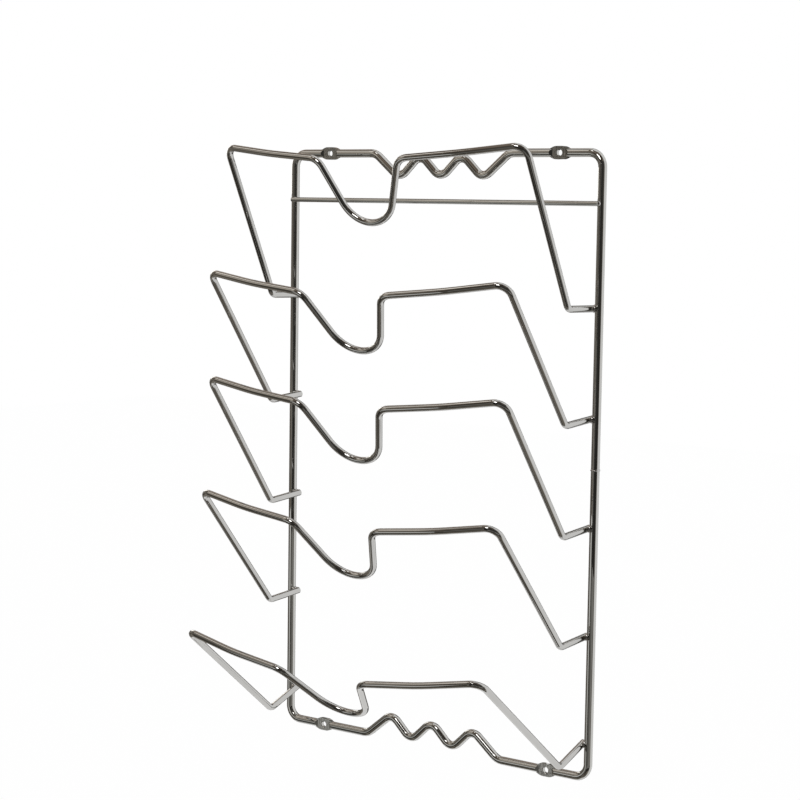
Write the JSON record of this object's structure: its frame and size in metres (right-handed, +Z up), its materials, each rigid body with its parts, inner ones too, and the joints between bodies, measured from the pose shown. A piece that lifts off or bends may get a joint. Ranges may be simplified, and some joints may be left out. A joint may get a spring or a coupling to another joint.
{
  "type": "wall-mounted pot lid rack",
  "caption": "Wall-hung chrome wire rack: a flat looped frame with pressed screw eyes carries slanted U-shaped holders, one above the other, each with a dip for a lid knob.",
  "frame": {"origin": "centre of the rectangle of the four screw holes, on the centre line of the frame wire, 3 mm in front of the wall", "axes": "+X to the right along the wall, +Y into the wall, +Z up; the lid holders stand out towards -Y"},
  "size_m": [0.2795, 0.1362, 0.4432],
  "materials": {
    "frame_chrome": "bright chrome plating on round steel wire",
    "holder_chrome": "bright chrome plating on bent steel wire",
    "cross_chrome": "bright chrome plating on thin steel wire",
    "weld_chrome": "chrome plating over small weld beads"
  },
  "bodies": {
    "root": {"frame_wire": "frame_chrome", "lid_holder_1": "holder_chrome", "lid_holder_2": "holder_chrome", "lid_holder_3": "holder_chrome", "lid_holder_4": "holder_chrome", "lid_holder_5": "holder_chrome", "cross_wire": "cross_chrome", "weld_holder_1_left": "weld_chrome", "weld_holder_2_left": "weld_chrome", "weld_holder_3_left": "weld_chrome", "weld_holder_4_left": "weld_chrome", "weld_holder_5_left": "weld_chrome", "weld_cross_left": "weld_chrome", "weld_holder_1_right": "weld_chrome", "weld_holder_2_right": "weld_chrome", "weld_holder_3_right": "weld_chrome", "weld_holder_4_right": "weld_chrome", "weld_holder_5_right": "weld_chrome", "weld_cross_right": "weld_chrome", "weld_frame_seam": "weld_chrome"}
  },
  "joints": []
}
